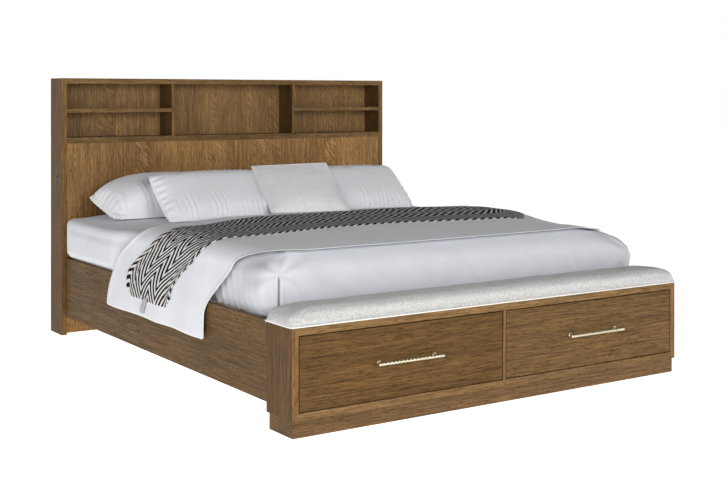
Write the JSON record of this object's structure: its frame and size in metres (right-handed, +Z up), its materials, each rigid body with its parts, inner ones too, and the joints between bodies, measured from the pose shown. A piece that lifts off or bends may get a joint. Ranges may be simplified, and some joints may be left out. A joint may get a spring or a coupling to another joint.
{
  "type": "platform bed with storage drawers",
  "caption": "King platform bed with a bookcase headboard, a foot bench holding drawers on side slides, and a made-up mattress with pillows, coverlet and throw.",
  "frame": {"origin": "on the floor, under the middle of the bed's overall length and width", "axes": "+Z up, +Y from the foot to the headboard, +X to the right seen from the foot"},
  "size_m": [2.045, 2.44, 1.331],
  "materials": {
    "oak_veneer": "satin brown oak, open grain",
    "pale_ply": "sanded birch ply",
    "slat_pine": "planed pine",
    "satin_brass": "satin champagne",
    "zinc_steel": "bright zinc",
    "black_plastic": "fine matte texture",
    "glide_plastic": "moulded, slightly glossy",
    "boucle_fabric": "looped cream boucle",
    "mattress_fabric": "smooth fitted sheet",
    "duvet_cotton": "smooth cotton sateen",
    "coverlet_cotton": "crisp white cotton",
    "herringbone_wool": "black and white herringbone weave",
    "pillow_cotton": "smooth cotton",
    "accent_velvet": "crushed pale velvet"
  },
  "bodies": {
    "bed_frame": {"accent_cushion": "accent_velvet", "bench_cushion": "boucle_fabric", "bookcase_back_panel": "oak_veneer", "bookcase_divider_left": "oak_veneer", "bookcase_divider_right": "oak_veneer", "bookcase_floor": "oak_veneer", "bookcase_shelf_left": "oak_veneer", "bookcase_shelf_right": "oak_veneer", "center_beam": "slat_pine", "center_legs": "slat_pine", "coverlet": "coverlet_cotton", "drawer_housing_rear_rail": "pale_ply", "drawer_housing_sides": "pale_ply", "duvet": "duvet_cotton", "foot_bottom_panel": "oak_veneer", "foot_center_divider": "oak_veneer", "foot_plinth": "oak_veneer", "foot_side_left": "oak_veneer", "foot_side_right": "oak_veneer", "foot_top_panel": "oak_veneer", "headboard_front_panel": "oak_veneer", "headboard_rear_panel": "slat_pine", "headboard_side_left": "oak_veneer", "headboard_side_right": "oak_veneer", "headboard_stretchers": "slat_pine", "headboard_top_panel": "oak_veneer", "leg_glides": "glide_plastic", "mattress": "mattress_fabric", "pillow_back_left": "pillow_cotton", "pillow_back_right": "pillow_cotton", "pillow_front_left": "pillow_cotton", "pillow_front_right": "pillow_cotton", "power_inlet": "black_plastic", "rail_bolts": "zinc_steel", "rail_brackets": "zinc_steel", "shelf_pins": "zinc_steel", "shelf_power_modules": "black_plastic", "side_charging_strips": "black_plastic", "side_rail_left": "oak_veneer", "side_rail_right": "oak_veneer", "slat_ledges": "slat_pine", "slats": "slat_pine", "slide_cabinet_members": "zinc_steel", "throw_blanket": "herringbone_wool"},
    "left_drawer": {"left_drawer_bottom": "pale_ply", "left_drawer_box_ends": "pale_ply", "left_drawer_box_sides": "pale_ply", "left_drawer_front": "oak_veneer", "left_drawer_pull_bar": "satin_brass", "left_drawer_pull_posts": "satin_brass", "left_slide_inner_members": "zinc_steel"},
    "right_drawer": {"right_drawer_bottom": "pale_ply", "right_drawer_box_ends": "pale_ply", "right_drawer_box_sides": "pale_ply", "right_drawer_front": "oak_veneer", "right_drawer_pull_bar": "satin_brass", "right_drawer_pull_posts": "satin_brass", "right_slide_inner_members": "zinc_steel"},
    "left_slide_middles": {"left_slide_middle_members": "zinc_steel"},
    "right_slide_middles": {"right_slide_middle_members": "zinc_steel"}
  },
  "joints": [
    {"name": "left_drawer_slide", "type": "slide", "parent": "bed_frame", "child": "left_drawer", "axis": [0, -1, 0], "range_m": [0, 0.37]},
    {"name": "right_drawer_slide", "type": "slide", "parent": "bed_frame", "child": "right_drawer", "axis": [0, -1, 0], "range_m": [0, 0.37]},
    {"name": "left_slide_middle_travel", "type": "slide", "parent": "bed_frame", "child": "left_slide_middles", "axis": [0, -1, 0], "range_m": [0, 0.185]},
    {"name": "right_slide_middle_travel", "type": "slide", "parent": "bed_frame", "child": "right_slide_middles", "axis": [0, -1, 0], "range_m": [0, 0.185]}
  ],
  "couplings": [
    {"joint": "left_slide_middle_travel", "follows": "left_drawer_slide", "ratio": 0.5},
    {"joint": "right_slide_middle_travel", "follows": "right_drawer_slide", "ratio": 0.5}
  ]
}
